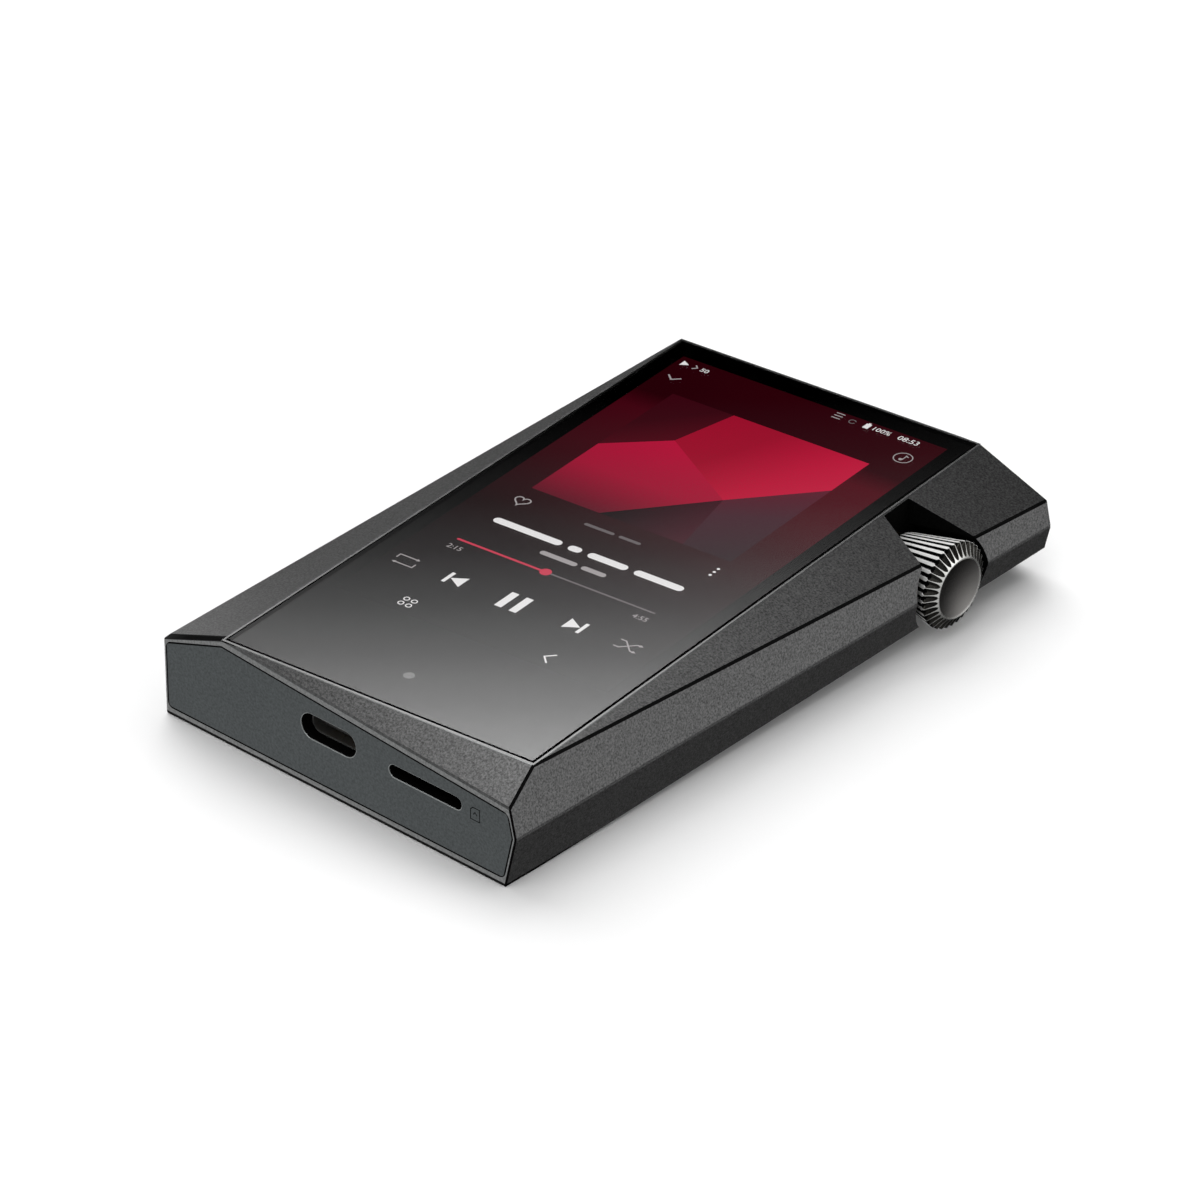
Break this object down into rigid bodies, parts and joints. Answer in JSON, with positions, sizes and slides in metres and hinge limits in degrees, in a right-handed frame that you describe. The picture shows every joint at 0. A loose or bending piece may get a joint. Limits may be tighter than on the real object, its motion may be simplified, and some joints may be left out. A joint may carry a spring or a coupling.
{
  "type": "digital audio player",
  "caption": "Pocket digital audio player: faceted dark metal shell with a tilted glass front over a screen, a fluted volume knob in a side notch, side and power keys, jacks and ports.",
  "frame": {"origin": "centre of the flat back face", "axes": "+X to the player's right as seen from the front, +Y towards its top end with the jacks, +Z out of the screen"},
  "size_m": [0.0656, 0.1087, 0.0161],
  "materials": {
    "anodised_housing": "bead-blasted dark grey anodise",
    "anodised_cap": "fine bead-blasted dark grey anodise",
    "cover_glass": "polished cover glass",
    "black_adhesive": "matt black foam adhesive",
    "display_face": "lit screen",
    "plate_metal": "stamped sheet",
    "flex_print": "amber polyimide",
    "back_plastic": "dark glossy back",
    "knob_metal": "diamond-cut dark anodise",
    "polished_cap": "polished dark anodise",
    "brass_parts": "turned brass",
    "circuit_board": "green solder mask",
    "black_moulding": "moulded black",
    "button_metal": "satin dark anodise",
    "connector_steel": "plated steel",
    "gold_contacts": "gold plated",
    "ring_metal": "turned and polished",
    "battery_wrap": "foil pouch in dark wrap"
  },
  "bodies": {
    "player": {"housing": "anodised_housing", "bottom_cap": "anodised_cap", "top_cap": "anodised_cap", "front_glass": "cover_glass", "glass_adhesive": "black_adhesive", "display_panel": "display_face", "display_backplate": "plate_metal", "display_flex": "flex_print", "back_cover": "back_plastic", "back_cover_adhesive": "black_adhesive", "encoder_case": "black_moulding", "encoder_bush": "brass_parts", "encoder_nut": "brass_parts", "encoder_board": "circuit_board", "side_switches": "black_moulding", "power_switch": "black_moulding", "side_key_board": "circuit_board", "power_key_board": "circuit_board", "usb_shell": "connector_steel", "usb_tongue": "black_moulding", "usb_contacts": "gold_contacts", "card_socket_base": "black_moulding", "card_socket_cover": "connector_steel", "jack_large": "black_moulding", "jack_medium": "black_moulding", "jack_small": "black_moulding", "jack_large_ring": "ring_metal", "jack_medium_ring": "ring_metal", "jack_small_ring": "ring_metal", "main_board": "circuit_board", "audio_board": "circuit_board", "processor_shield": "plate_metal", "board_chips": "black_moulding", "board_screws": "connector_steel", "battery": "battery_wrap", "battery_circuit": "black_moulding", "battery_pads": "black_adhesive", "battery_lead": "flex_print", "antenna_flex": "flex_print", "side_flex": "flex_print", "audio_shield": "plate_metal"},
    "knob": {"volume_knob": "knob_metal", "knob_cap": "polished_cap", "encoder_shaft": "plate_metal", "encoder_disc": "black_moulding"},
    "previous_key": {"previous_button": "button_metal", "previous_plunger": "black_moulding"},
    "play_key": {"play_button": "button_metal", "play_plunger": "black_moulding"},
    "next_key": {"next_button": "button_metal", "next_plunger": "black_moulding"},
    "power_key": {"power_button": "button_metal", "power_plunger": "black_moulding"}
  },
  "joints": [
    {"name": "volume_turn", "type": "hinge", "parent": "player", "child": "knob", "pos_m": [0.0276, 0.03285, 0.0077], "axis": [1, 0, 0], "continuous": true},
    {"name": "previous_press", "type": "slide", "parent": "player", "child": "previous_key", "axis": [1, 0, 0], "range_m": [0, 0.00035], "stiffness_N_per_m": 2500, "springref_m": -0.0002},
    {"name": "play_press", "type": "slide", "parent": "player", "child": "play_key", "axis": [1, 0, 0], "range_m": [0, 0.00035], "stiffness_N_per_m": 2500, "springref_m": -0.0002},
    {"name": "next_press", "type": "slide", "parent": "player", "child": "next_key", "axis": [1, 0, 0], "range_m": [0, 0.00035], "stiffness_N_per_m": 2500, "springref_m": -0.0002},
    {"name": "power_press", "type": "slide", "parent": "player", "child": "power_key", "axis": [0, -1, 0], "range_m": [0, 0.00035], "stiffness_N_per_m": 2500, "springref_m": -0.0002}
  ]
}
